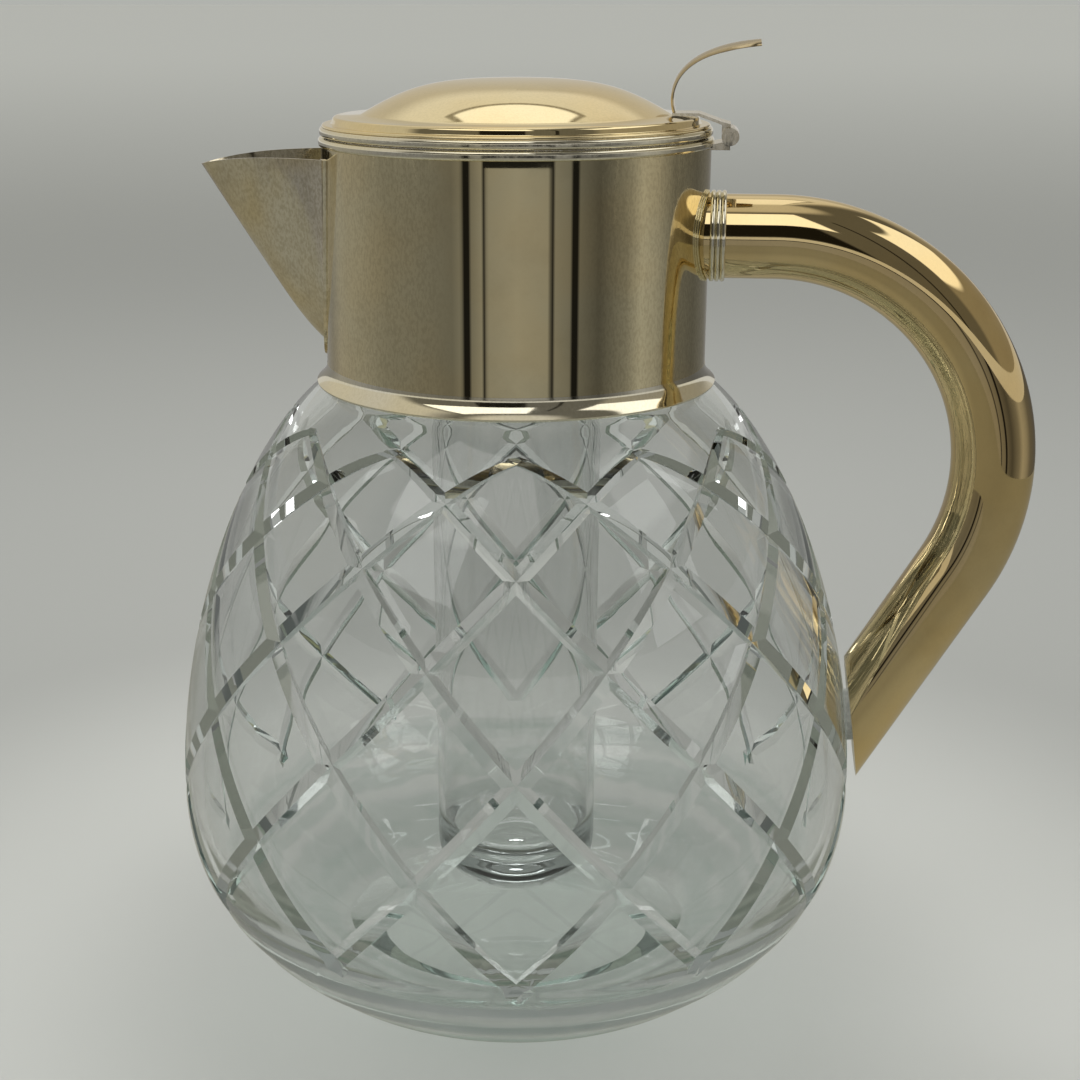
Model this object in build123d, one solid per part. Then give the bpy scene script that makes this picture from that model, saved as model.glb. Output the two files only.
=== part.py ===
from build123d import *
import math
import os

# Jug for chilled wine: a cut glass bowl with a plated metal collar, an open spout, a hinged lid,
# a bent tube handle and a glass ice tube that hangs in the neck.
# Millimetres. Origin: centre of the flat base. +Z up, +X towards the handle, -X towards the spout.

# ---- glass bowl: outside ----
foot_radius = 43.0            # flat ground foot
belly_radius = 100.5          # widest point
belly_height = 70.0
shoulder_radius = 56.2        # where the glass goes under the collar
shoulder_height = 190.9
foot_angle = 30.0             # slope of the wall as it leaves the foot
shoulder_angle = 38.0         # slope of the wall as it reaches the collar
foot_reach = 29.0             # how far each curve keeps the slope of its end
lower_belly_reach = 41.0
upper_belly_reach = 49.0
shoulder_reach = 30.0

# ---- diamond cutting: two sets of V grooves that climb round the bowl and cross ----
groove_count = 12             # grooves of each set
groove_start = 6.5            # where the first ones start, round from the handle
groove_sweep = 90.0           # how far round the bowl each one runs
groove_depth = 1.9
groove_half_width = 2.9
groove_low = 50.0             # height of the lowest crossings
groove_top_drop = 7.9         # highest crossings below the shoulder
groove_low_climb = 55.6       # how strongly they climb at the start
groove_top_climb = 9.8        # and at the end, where the wall leans in
groove_overrun = 0.013        # share of its length that each one runs on past its last crossing
groove_sections = 10
groove_cutter_proud = 0.6     # height of the cutter's back above the glass
curve_step = 0.001            # step along a curve that finds its direction

# ---- glass bowl: inside and neck ----
bowl_wall = 5.0
floor_thickness = 15.0
floor_radius = 50.0
floor_reach = 20.0
floor_angle = 14.0            # slope of the wall as it leaves the inner floor
inner_belly_reach = 28.0
neck_radius = 50.0
neck_wall = 4.8
neck_height = 13.5            # from the shoulder to the neck's lip
neck_bend = 5.0               # how far the shoulder keeps its slope before it turns up
neck_turn = 8.0               # height of that turn

# ---- collar ----
collar_radius = 54.0
sheet = 0.9
collar_base_rise = 3.1        # lower edge of the band above the glass shoulder
collar_height = 63.2          # from the lower edge of the band to its upper edge
foot_ring_rise = 6.3          # top of the flared ring above the glass shoulder
foot_ring_flare = 3.0
foot_ring_sheet = 0.6
foot_ring_edge = 0.8
foot_ring_gap = 0.35
rim_height = 2.4
rim_proud = 0.7
rim_rounding = 0.55
cement_height = 4.4
seat_drop = 7.2               # top of the insert's seat below the top of the band
seat_thickness = 1.0
seat_lip = 2.5

# ---- strainer ----
hole_radius = 1.2
hole_pitch = 4.2
strainer_margin = 2.6         # from the holes to the edge of the spout
strainer_lip_gap = 3.0        # lowest row above the neck's lip

# ---- spout ----
spout_reach = 37.8            # tip beyond the collar
spout_half_width = 20.0
spout_side_power = 0.35       # low: steep sides over a rounded foot; 1: a plain V
spout_drop = 53.5             # lowest point below the rim of the spout
spout_keel_bend = 3.6         # how far the short curve at the foot pushes the keel out
spout_bend_height = 4.8       # height over which that curve dies away
spout_rim_drop = 3.0          # rim of the spout below the top of the band
spout_tip_dip = 4.0           # how far the rim falls towards the tip
spout_rim_level = 15.0        # length of rim that stays nearly level
spout_tip_curve = 12.0        # length over which it falls
spout_sheet = 0.9
spout_sections = (0.0, 0.05, 0.15, 0.33, 0.6, 1.0)     # shares of its height, closer at the foot
spout_start = 0.5             # first section above the lowest point
spout_floor = 1.2
spout_flange_width = 3.0
spout_flange_tail = 3.2
spout_flange_thickness = 0.8

# ---- ice tube ----
tube_radius = 24.4
tube_wall = 2.2
tube_floor_height = 34.0
tube_corner = 15.0
tube_lip_radius = 33.0
tube_lip_thickness = 2.6
tube_lip_fillet = 2.2
tube_lip_rounding = 1.0
tube_mouth_flare = 4.8
seat_clearance = 0.25
seat_hole_clearance = 2.6

# ---- lid ----
lid_gap = 0.3
lid_rim_height = 2.4
lid_rim_radius = 54.3
lid_rim_rounding = 0.6
lid_brim_radius = 53.6
lid_brim_thickness = 0.8
lid_step_radius = 51.0
lid_step_height = 1.9
lid_step_lean = 0.6
lid_flange_inner = 43.0
lid_flange_rise = 0.4
lid_dome_rise = 9.6
lid_dome_slope = 30.0         # slope of the dome as it leaves the flange
lid_dome_reach = 16.0         # how far it keeps that slope
lid_dome_flat = 22.0          # radius of the nearly flat top
lid_sheet = 1.0
lid_edge_rounding = 0.7
skirt_clearance = 0.4
skirt_depth = 4.1

# ---- hinge ----
hinge_offset = 4.3            # axis outside the rim of the collar
hinge_lift = 0.5              # axis above the top of the rim
knuckle_radius = 2.4
lid_knuckle_length = 5.0
collar_knuckle_length = 4.3
knuckle_gap = 0.2
pin_radius = 0.8
pin_clearance = 0.05
pin_head_radius = 1.3
pin_head_length = 0.6
leaf_thickness = 0.8
leaf_half_width = 6.0
leaf_overlap = 7.3            # how far the leaf lies over the lid's flange
leaf_clearance = 0.02
leaf_crank = 0.6              # height of the bend before the knuckle
bracket_thickness = 1.1
bracket_hold = 0.9            # how far the bracket cradles the knuckles
bracket_step = 0.4            # how far it is thinner towards the rim
hinge_clearance = 0.12

# ---- thumb piece ----
thumb_rise = 18.6             # tip above the leaf
thumb_reach = 22.4            # tip beyond its root
thumb_thickness = 0.9
thumb_root_half_width = 4.6
thumb_tip_half_width = 7.0
thumb_end_half_width = 3.9
thumb_swell = 3.1             # how far the stem leans towards the dome, and how high
thumb_swell_rise = 9.3
thumb_curl = 4.5              # where the strip turns over, beyond the root and below the tip
thumb_curl_drop = 1.4
thumb_tip_thickness = 0.7

# ---- handle ----
handle_radius = 11.6
handle_wall = 1.0
handle_drop = 24.5            # axis of the upper run below the top of the band
handle_bend_radius = 63.8
handle_straight = 18.4        # upper run, from the collar to the bend
handle_sweep = 120.0
handle_tail = 76.0            # straight lower run before it is cut
handle_bowl_gap = 1.2         # cut face off the glass where it comes nearest
handle_cut_tilt = 8.0
handle_cut_height = 91.0      # where the axis of the handle meets the cut face
end_plate_thickness = 0.9
bumper_half_width = 5.0
bumper_half_height = 8.0
bumper_clearance = 0.1
ferrule_start = 0.3
ferrule_length = 4.4
ferrule_beads = 3
ferrule_radius = 12.6
socket_radius = 11.9
spigot_clearance = 0.05
spigot_length = 14.0
spigot_wall = 1.2

# ---- heights and places that follow from the above ----
band_bottom = shoulder_height + collar_base_rise
band_top = band_bottom + collar_height
rim_top = band_top + rim_height
rim_radius = collar_radius + rim_proud
band_inner = collar_radius - sheet
neck_foot = shoulder_height + neck_turn
neck_top = shoulder_height + neck_height
seat_top = band_top - seat_drop
spout_top = band_top - spout_rim_drop
spout_bottom = spout_top - spout_drop
strainer_bottom = neck_top + strainer_lip_gap
strainer_top = seat_top - seat_thickness - strainer_margin
tube_lip_bottom = seat_top + seat_clearance
lid_bottom = rim_top + lid_gap
brim_bottom = lid_bottom + lid_rim_height
step_bottom = brim_bottom + lid_brim_thickness
flange_edge_top = step_bottom + lid_step_height
flange_top = flange_edge_top + lid_flange_rise
flange_edge_radius = lid_step_radius - lid_step_lean
skirt_radius = band_inner - skirt_clearance
hinge_x = rim_radius + hinge_offset
hinge_z = rim_top + hinge_lift
leaf_inner_x = flange_edge_radius - leaf_overlap
handle_z = band_top - handle_drop
bend_x = collar_radius + handle_straight
bend_z = handle_z - handle_bend_radius
ferrule_x = collar_radius + ferrule_start


def upright(face):
    """Solid of revolution about +Z of a face drawn as radius and height."""
    return revolve(Plane.XZ * face, Axis.Z, 360)


def closed(*curves):
    """Face inside lines and curves that join end to end."""
    return Face(Wire([edge for curve in curves for edge in curve.edges()]))


def aside(point, length, angle):
    """Point at a length and angle from another, in the profile plane."""
    turn = math.radians(angle)
    return (point[0] + length * math.cos(turn), point[1] + length * math.sin(turn))


def ring(inner, outer, low, high):
    """Plain ring about +Z."""
    return upright(Pos((inner + outer) / 2, (low + high) / 2) * Rectangle(outer - inner, high - low))


def bar_y(radius, low, high, x, z):
    """Round bar along Y between two places."""
    return Pos(x, (low + high) / 2, z) * Rot(90, 0, 0) * Cylinder(radius, high - low)


def plate_y(outline, half_width):
    """Plate with an outline in X and Z and a width along Y."""
    return extrude(Plane.XZ * outline, half_width, both=True)


# ---- glass ----
def foot_points():
    """Control points of the wall below the belly."""
    foot = (foot_radius, 0)
    return [foot, aside(foot, foot_reach, foot_angle),
            (belly_radius, belly_height - lower_belly_reach), (belly_radius, belly_height)]


def wall_points(inset):
    """Control points of the wall above the belly, moved inwards by a wall thickness."""
    belly = (belly_radius - inset, belly_height)
    end = aside((shoulder_radius, shoulder_height), inset, 270 - shoulder_angle)
    return [belly, (belly[0], belly_height + upper_belly_reach),
            aside(end, shoulder_reach, -shoulder_angle), end]


def neck_points(shoulder, radius):
    """Control points from the shoulder up to the straight neck."""
    return [shoulder, aside(shoulder, neck_bend, 180 - shoulder_angle),
            (radius, neck_foot - neck_bend / 2), (radius, neck_foot)]


def curve_point(points, t):
    """Point of the cubic curve with four control points, at t from 0 to 1."""
    shares = ((1 - t) ** 3, 3 * (1 - t) ** 2 * t, 3 * (1 - t) * t * t, t ** 3)
    return tuple(sum(share * point[i] for share, point in zip(shares, points)) for i in (0, 1))


def wall_place(height):
    """Radius of the bowl's outside at a height, and how far its face looks upwards there."""
    points = wall_points(0) if height > belly_height else foot_points()
    low, high = 0.0, 1.0
    for _ in range(40):
        t = (low + high) / 2
        low, high = (t, high) if curve_point(points, t)[1] < height else (low, t)
    before = curve_point(points, t - curve_step)
    after = curve_point(points, t + curve_step)
    return curve_point(points, t)[0], math.atan2(before[0] - after[0], after[1] - before[1])


def groove_place(share, hand):
    """Place on the wall along a groove, and the wall's outward direction there."""
    top = shoulder_height - groove_top_drop
    climb = [(0, groove_low), (0, groove_low + groove_low_climb), (0, top - groove_top_climb), (0, top)]
    height = curve_point(climb, share)[1]
    radius, lean = wall_place(height)
    turn = math.radians(groove_start + hand * groove_sweep * share)
    level = math.cos(lean)
    return (Vector(radius * math.cos(turn), radius * math.sin(turn), height),
            Vector(level * math.cos(turn), level * math.sin(turn), math.sin(lean)))


def groove_cutter(hand):
    """Bar with a V section that follows one groove."""
    half_width = groove_half_width * (1 + groove_cutter_proud / groove_depth)
    section = make_face(Polyline((0, -groove_depth), (half_width, groove_cutter_proud),
                                 (-half_width, groove_cutter_proud), close=True))
    sections = []
    for index in range(groove_sections):
        share = index / (groove_sections - 1) * (1 + 2 * groove_overrun) - groove_overrun
        place, out = groove_place(share, hand)
        along = groove_place(share + curve_step, hand)[0] - place
        sections.append(Plane(origin=place, x_dir=out.cross(along), z_dir=along) * section)
    return loft(sections)


def make_bowl():
    """Plain bowl before it is cut."""
    outer = wall_points(0)
    inner = wall_points(bowl_wall)
    floor_edge = (floor_radius, floor_thickness)
    neck_inner = neck_radius - neck_wall
    lip = neck_top - neck_wall / 2
    return upright(closed(
        Line((0, 0), (foot_radius, 0)),
        Bezier(*foot_points()),
        Bezier(*outer),
        Bezier(*neck_points(outer[3], neck_radius)),
        Line((neck_radius, neck_foot), (neck_radius, lip)),
        ThreePointArc((neck_radius, lip), (neck_radius - neck_wall / 2, neck_top), (neck_inner, lip)),
        Line((neck_inner, lip), (neck_inner, neck_foot)),
        Bezier(*neck_points(inner[3], neck_inner)[::-1]),
        Bezier(*inner[::-1]),
        Bezier(inner[0], (inner[0][0], belly_height - inner_belly_reach),
               aside(floor_edge, floor_reach, floor_angle), floor_edge),
        Line(floor_edge, (0, floor_thickness)),
        Line((0, floor_thickness), (0, 0))))


def make_glass_body():
    """Bowl with a thick floor, an even wall, a straight neck and a lattice of cut grooves."""
    body = make_bowl()
    for hand in (1, -1):
        cutter = groove_cutter(hand)
        turns = [360 / groove_count * index for index in range(groove_count)]
        body = (body - [Rot(0, 0, turn) * cutter for turn in turns]).solid()
    return body


def make_ice_tube():
    """Glass tube with a rounded floor and a flat lip that rests on the seat."""
    top = tube_lip_bottom + tube_lip_thickness
    bore = tube_radius - tube_wall
    inner_floor = tube_floor_height + tube_wall
    section = make_face(Polyline(
        (0, tube_floor_height), (tube_radius, tube_floor_height), (tube_radius, tube_lip_bottom),
        (tube_lip_radius, tube_lip_bottom), (tube_lip_radius, top), (bore, top),
        (bore, inner_floor), (0, inner_floor), close=True))
    corners = [(tube_radius, tube_floor_height, tube_corner),
               (bore, inner_floor, tube_corner - tube_wall),
               (tube_radius, tube_lip_bottom, tube_lip_fillet),
               (bore, top, tube_mouth_flare),
               (tube_lip_radius, tube_lip_bottom, tube_lip_rounding),
               (tube_lip_radius, top, tube_lip_rounding)]
    for radius, height, rounding in corners:
        section = fillet(section.vertices().sort_by_distance((radius, height, 0))[0], rounding)
    return upright(section)


# ---- collar ----
def make_collar_band():
    """Band of the collar, pierced as a strainer behind the spout."""
    row_pitch = hole_pitch * math.sin(math.radians(60))
    rows = int((strainer_top - strainer_bottom) / row_pitch)
    columns = int(spout_half_width / hole_pitch)
    drill = Pos(-collar_radius, 0, 0) * Rot(0, 90, 0) * Cylinder(hole_radius, 4 * sheet)
    holes = []
    for row in range(rows + 1):
        z = strainer_bottom + row * row_pitch
        for column in range(-columns, columns + 1):
            along = (column + 0.5 * (row % 2)) * hole_pitch
            if abs(along) < spout_width(z) - strainer_margin:
                holes.append(Pos(0, 0, z) * Rot(0, 0, math.degrees(along / collar_radius)) * drill)
    return ring(band_inner, collar_radius, band_bottom, band_top) - holes


def make_collar_foot():
    """Flared ring that covers the lower edge of the band."""
    top = shoulder_height + foot_ring_rise
    edge_radius = collar_radius + foot_ring_flare
    low = shoulder_height + foot_ring_gap
    high = low + foot_ring_edge
    sleeve = (collar_radius + foot_ring_sheet, top)
    under = (collar_radius, band_bottom - foot_ring_gap)
    return upright(closed(
        Line((collar_radius, top), sleeve),
        Bezier(sleeve, (sleeve[0], (top + high) / 2),
               (edge_radius - 2 * foot_ring_edge, high + foot_ring_edge), (edge_radius, high)),
        RadiusArc((edge_radius, high), (edge_radius - foot_ring_edge, low), foot_ring_edge),
        Line((edge_radius - foot_ring_edge, low), under),
        Line(under, (collar_radius, top))))


def make_collar_rim():
    """Bead that stiffens the top of the collar and carries the lid."""
    bead = ring(band_inner, rim_radius, band_top, rim_top)
    outer = bead.edges().filter_by(GeomType.CIRCLE).sort_by(SortBy.RADIUS)[-2:]
    return fillet(outer, rim_rounding)


def make_insert_seat():
    """Ring that the lip of the ice tube rests on, with an upturned edge."""
    floor = ring(tube_radius + seat_hole_clearance, band_inner, seat_top - seat_thickness, seat_top)
    return floor + ring(band_inner - sheet, band_inner, seat_top, seat_top + seat_lip)


# ---- spout ----
def spout_share(z):
    """Height as a share of the spout, from its lowest point to its rim."""
    return max(0.0, (z - spout_bottom) / spout_drop)


def spout_width(z):
    """Half-width of the spout where it meets the collar: steep sides over a rounded foot."""
    return spout_half_width * spout_share(z) ** spout_side_power


def spout_nose(z):
    """Distance of the keel from the collar's axis: a short curve, then a straight run."""
    bend = spout_keel_bend * (1 - math.exp(-max(0.0, z - spout_bottom) / spout_bend_height))
    return collar_radius + bend + (spout_reach - spout_keel_bend) * spout_share(z)


def spout_solid(inset, low, high):
    """Solid inside the sheet of the spout: a rounded V that grows towards the rim."""
    root = collar_radius - spout_half_width / 2
    sections = []
    for share in spout_sections:
        z = low + share * (high - low)
        width = spout_width(z) - inset
        nose = spout_nose(z) - inset
        back = -math.sqrt(collar_radius ** 2 - width ** 2)
        side = Bezier((back, -width), (-2 * nose - back, 0), (back, width))
        inside = Polyline((back, width), (-root, width), (-root, -width), (back, -width))
        sections.append(Pos(0, 0, z) * closed(side, inside))
    return loft(sections)


def make_spout(shape):
    """Sheet spout with a rim that falls towards the tip."""
    hollow = spout_solid(spout_sheet, spout_bottom + spout_floor, spout_top + spout_sheet)
    tip = -(collar_radius + spout_reach + spout_sheet)
    over = spout_top + spout_drop
    rim = Bezier((-collar_radius, spout_top), (-collar_radius - spout_rim_level, spout_top),
                 (tip + spout_tip_curve, spout_top), (tip, spout_top - spout_tip_dip))
    outside = Polyline((tip, spout_top - spout_tip_dip), (tip, over), (0, over), (0, spout_top),
                       (-collar_radius, spout_top))
    above = plate_y(closed(rim, outside), 2 * spout_half_width)
    core = Pos(0, 0, spout_top - spout_drop / 2) * Cylinder(collar_radius, 2 * spout_drop)
    return shape - hollow - core - above


def make_spout_flange(shape):
    """Narrow strip on the collar all round the root of the spout."""
    low = spout_bottom - spout_flange_tail
    sides = []
    for share in spout_sections:
        z = low + share * (spout_top - low)
        extra = spout_flange_width * min(1.0, (z - low) / spout_flange_tail)
        sides.append((spout_half_width * share ** spout_side_power + extra, z))
    edge = Spline(*[(-y, z) for y, z in sides[:0:-1]], *sides)
    outline = closed(edge, Line(sides[-1], (-sides[-1][0], sides[-1][1])))
    band = ring(collar_radius, collar_radius + spout_flange_thickness, low - sheet, rim_top)
    mask = extrude(Plane.YZ * outline, 2 * collar_radius, dir=(-1, 0, 0))
    return (band & mask) - shape


# ---- lid ----
def make_lid_dome():
    """Spun cap: brim, step, flat flange and a low cushion-shaped dome."""
    top = flange_top + lid_dome_rise

    def crown(drop):
        edge = (lid_flange_inner, flange_top - drop)
        return Bezier(edge, aside(edge, lid_dome_reach, 180 - lid_dome_slope),
                      (lid_dome_flat, top - drop), (0, top - drop))

    outer = crown(0)
    inner = crown(lid_sheet)
    brim = [(lid_flange_inner, flange_top), (flange_edge_radius, flange_edge_top),
            (lid_step_radius, step_bottom), (lid_brim_radius, step_bottom),
            (lid_brim_radius, brim_bottom), (lid_step_radius - lid_sheet, brim_bottom),
            (flange_edge_radius - lid_sheet, flange_edge_top - lid_sheet),
            (lid_flange_inner, flange_top - lid_sheet)]
    section = closed(outer, Polyline(*brim), inner, Line((0, top - lid_sheet), (0, top)))
    edge = section.vertices().sort_by_distance((flange_edge_radius, flange_edge_top, 0))[0]
    return upright(fillet(edge, lid_edge_rounding))


def make_lid_rim():
    """Half-round bead under the brim of the lid."""
    bead = ring(skirt_radius, lid_rim_radius, lid_bottom, brim_bottom)
    outer = bead.edges().filter_by(GeomType.CIRCLE).sort_by(SortBy.RADIUS)[-2:]
    return fillet(outer, lid_rim_rounding)


def make_lid_skirt():
    """Locating ring inside the lid that drops into the collar."""
    return ring(skirt_radius - sheet, skirt_radius, lid_bottom - skirt_depth, brim_bottom)


# ---- hinge ----
def knuckle(low, high):
    """Length of hinge tube about the hinge axis."""
    tube = bar_y(knuckle_radius, low, high, hinge_x, hinge_z)
    return tube - bar_y(pin_radius + pin_clearance, low - sheet, high + sheet, hinge_x, hinge_z)


def make_lid_leaf():
    """Strap over the lid's flange, bent down onto the lid's knuckle."""
    low = flange_top + leaf_clearance
    rise = hinge_z + knuckle_radius + hinge_clearance
    under = [(leaf_inner_x, low), (flange_edge_radius, low), (hinge_x - knuckle_radius, rise + leaf_crank),
             (hinge_x, rise)]
    over = [(x, z + leaf_thickness) for x, z in under[::-1]]
    strap = plate_y(make_face(Polyline(*under, *over, close=True)), leaf_half_width)
    tongue_low = (hinge_x - knuckle_radius, hinge_z)
    tongue = plate_y(make_face(Polyline(tongue_low, (hinge_x, hinge_z), (hinge_x, rise),
                                        (tongue_low[0], rise + leaf_crank), close=True)),
                     lid_knuckle_length / 2)
    reach = bar_y(knuckle_radius, -leaf_half_width, leaf_half_width, hinge_x, hinge_z)
    return strap + (tongue - reach)


def make_hinge_bracket():
    """Plate soldered to the collar's rim, hollowed to hold the knuckles."""
    half_width = lid_knuckle_length / 2 + knuckle_gap + collar_knuckle_length
    low = hinge_z - knuckle_radius - bracket_thickness
    high = hinge_z - knuckle_radius + bracket_hold
    inside = collar_radius - sheet
    outline = make_face(Polyline((inside, low), (hinge_x, low), (hinge_x, high),
                                 (hinge_x - knuckle_radius, high), (rim_radius, high - bracket_step),
                                 (inside, high - bracket_step), close=True))
    seat = bar_y(knuckle_radius + hinge_clearance, -2 * half_width, 2 * half_width, hinge_x, hinge_z)
    collar = Pos(0, 0, low) * Cylinder(collar_radius, 4 * rim_height)
    rim = Pos(0, 0, band_top + rim_height) * Cylinder(rim_radius, 2 * rim_height)
    return plate_y(outline, half_width) - seat - collar - rim


def make_hinge_pin():
    """Pin through all the knuckles, with a flat head at each end."""
    reach = lid_knuckle_length / 2 + knuckle_gap + collar_knuckle_length
    pin = bar_y(pin_radius, -reach, reach, hinge_x, hinge_z)
    for side in (-1, 1):
        ends = sorted((side * reach, side * (reach + pin_head_length)))
        pin += bar_y(pin_head_radius, ends[0], ends[1], hinge_x, hinge_z)
    return pin


def make_thumb_piece():
    """Strip that rises from the leaf and curls over towards the handle."""
    root = (leaf_inner_x + thumb_thickness, flange_top + leaf_clearance + leaf_thickness)
    tip = (root[0] + thumb_reach, root[1] + thumb_rise)

    def side(left, up):
        return Bezier((root[0] - left, root[1]),
                      (root[0] - thumb_swell - left, root[1] + thumb_swell_rise),
                      (root[0] + thumb_curl, tip[1] - thumb_curl_drop + up), (tip[0], tip[1] + up))

    strip = closed(side(0, 0), side(thumb_thickness, thumb_tip_thickness),
                   Line(root, (root[0] - thumb_thickness, root[1])),
                   Line(tip, (tip[0], tip[1] + thumb_tip_thickness)))
    plan = [(root[0] - 2 * thumb_swell, thumb_root_half_width), (root[0], thumb_root_half_width),
            (tip[0] - thumb_tip_half_width, thumb_tip_half_width), (tip[0], thumb_end_half_width)]
    outline = make_face(Polyline(*plan, *[(x, -y) for x, y in plan[::-1]], close=True))
    mask = Pos(0, 0, root[1] - thumb_thickness) * extrude(outline, 2 * thumb_rise, dir=(0, 0, 1))
    return plate_y(strip, thumb_tip_half_width) & mask


# ---- handle ----
def handle_path(start):
    """Centre line: a level run, one long bend and a straight tail past the cut face."""
    end_angle = 90 - handle_sweep
    bend_end = aside((bend_x, bend_z), handle_bend_radius, end_angle)
    tail = aside(bend_end, handle_tail, end_angle - 90)
    bend = CenterArc((bend_x, bend_z), handle_bend_radius, end_angle, handle_sweep)
    run = Line((start, handle_z), (bend_x, handle_z))
    return Plane.XZ * Wire([*run.edges(), *bend.edges(), *Line(bend_end, tail).edges()])


def handle_bar(radius, start):
    """Solid round bar along the handle's centre line."""
    section = Plane(origin=(start, 0, handle_z), x_dir=(0, 1, 0), z_dir=(1, 0, 0)) * Circle(radius)
    return sweep(section, path=handle_path(start))


def cut_plane():
    """Plane of the handle's lower end: leans with the bowl and stands just off the glass."""
    lean = math.tan(math.radians(handle_cut_tilt))
    heights = [handle_cut_height + step * handle_radius / 4 for step in range(7)]
    offset = max(wall_place(z)[0] + (z - handle_cut_height) * lean for z in heights)
    tilt = math.radians(handle_cut_tilt)
    return Plane(origin=(offset + handle_bowl_gap, 0, handle_cut_height), x_dir=(0, 1, 0),
                 z_dir=(-math.cos(tilt), 0, -math.sin(tilt)))


def make_handle_tube(face):
    """Hollow bent tube, cut off in front of the bowl."""
    beyond = face * Pos(0, 0, handle_bend_radius) * Box(*[2 * handle_bend_radius] * 3)
    bar = handle_bar(handle_radius, ferrule_x) - handle_bar(handle_radius - handle_wall, ferrule_x)
    return bar - beyond


def make_handle_end(face):
    """Plate that closes the lower end of the tube, flush with the cut."""
    slab = face * Pos(0, 0, -end_plate_thickness / 2) * Box(
        6 * handle_radius, 6 * handle_radius, end_plate_thickness)
    return handle_bar(handle_radius - handle_wall, ferrule_x) & slab


def make_handle_bumper(face):
    """Soft pad between the end plate and the glass."""
    pad = extrude(face * Ellipse(bumper_half_width, bumper_half_height), 4 * handle_bowl_gap)
    wall = wall_points(-bumper_clearance)
    bowl = upright(closed(Bezier(*wall), Polyline(wall[3], (0, wall[3][1]), (0, belly_height), wall[0])))
    return (pad - bowl).solids().sort_by(Axis.X)[-1]


def make_handle_socket():
    """Saddle soldered to the collar, with a spigot inside the handle."""
    turned = Pos(0, 0, handle_z) * Rot(0, 90, 0)
    saddle = turned * Pos(0, 0, ferrule_x / 2) * Cylinder(socket_radius, ferrule_x)
    outer = handle_radius - handle_wall - spigot_clearance
    middle = Pos(0, 0, ferrule_x + spigot_length / 2)
    spigot = turned * middle * (Cylinder(outer, spigot_length)
                                - Cylinder(outer - spigot_wall, 2 * spigot_length))
    collar = Pos(0, 0, handle_z) * Cylinder(collar_radius, 4 * socket_radius)
    return (saddle + spigot) - collar


def make_handle_ferrule():
    """Beaded ring round the upper end of the handle."""
    bead = ferrule_length / ferrule_beads / 2
    turned = Pos(ferrule_x, 0, handle_z) * Rot(0, 90, 0)
    sleeve = Pos(0, 0, ferrule_length / 2) * Cylinder(ferrule_radius - bead, ferrule_length)
    for index in range(ferrule_beads):
        sleeve += Pos(0, 0, (2 * index + 1) * bead) * Torus(ferrule_radius - bead, bead)
    return turned * (sleeve - Cylinder(handle_radius, 3 * ferrule_length))


# ---- the whole jug ----
def make_parts():
    """Every piece in its own node."""
    spout_shape = spout_solid(0, spout_bottom + spout_start, spout_top + spout_sheet)
    face = cut_plane()
    first = lid_knuckle_length / 2 + knuckle_gap
    last = first + collar_knuckle_length
    return {
        "glass_body": make_glass_body(),
        "ice_tube": make_ice_tube(),
        "neck_cement": ring(neck_radius, band_inner, neck_foot, neck_foot + cement_height),
        "collar_band": make_collar_band(),
        "collar_foot": make_collar_foot(),
        "collar_rim": make_collar_rim(),
        "insert_seat": make_insert_seat(),
        "spout": make_spout(spout_shape),
        "spout_flange": make_spout_flange(spout_shape),
        "lid_dome": make_lid_dome(),
        "lid_rim": make_lid_rim(),
        "lid_skirt": make_lid_skirt(),
        "lid_leaf": make_lid_leaf(),
        "lid_knuckle": knuckle(-lid_knuckle_length / 2, lid_knuckle_length / 2),
        "collar_knuckle_front": knuckle(-last, -first),
        "collar_knuckle_back": knuckle(first, last),
        "hinge_bracket": make_hinge_bracket(),
        "hinge_pin": make_hinge_pin(),
        "thumb_piece": make_thumb_piece(),
        "handle_socket": make_handle_socket(),
        "handle_ferrule": make_handle_ferrule(),
        "handle_tube": make_handle_tube(face),
        "handle_end": make_handle_end(face),
        "handle_bumper": make_handle_bumper(face),
    }


os.makedirs("parts", exist_ok=True)
for name, shape in make_parts().items():
    solids = shape.solids()
    export_step(solids[0] if len(solids) == 1 else Compound(children=list(solids)),
                f"parts/{name}.step")
    print(name, len(solids), round(sum(solid.volume for solid in solids), 1))
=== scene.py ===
import math
import bpy
import numpy as np
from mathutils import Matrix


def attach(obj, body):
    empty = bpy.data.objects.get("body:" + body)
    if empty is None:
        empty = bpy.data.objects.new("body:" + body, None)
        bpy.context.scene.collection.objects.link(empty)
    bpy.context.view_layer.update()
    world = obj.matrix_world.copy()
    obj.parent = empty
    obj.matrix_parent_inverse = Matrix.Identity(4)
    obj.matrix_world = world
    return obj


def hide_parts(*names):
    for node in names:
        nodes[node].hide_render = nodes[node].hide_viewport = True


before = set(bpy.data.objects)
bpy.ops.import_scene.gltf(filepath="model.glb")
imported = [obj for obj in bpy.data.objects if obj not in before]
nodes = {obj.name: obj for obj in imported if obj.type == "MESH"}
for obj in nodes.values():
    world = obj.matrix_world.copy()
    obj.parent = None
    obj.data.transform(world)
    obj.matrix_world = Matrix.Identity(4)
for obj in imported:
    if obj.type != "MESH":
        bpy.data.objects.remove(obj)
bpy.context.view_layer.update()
mm = 0.001
together = 1e-4                        # points closer than this, in millimetres, are one
print("frame loaded:", len(nodes), "nodes")


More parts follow.
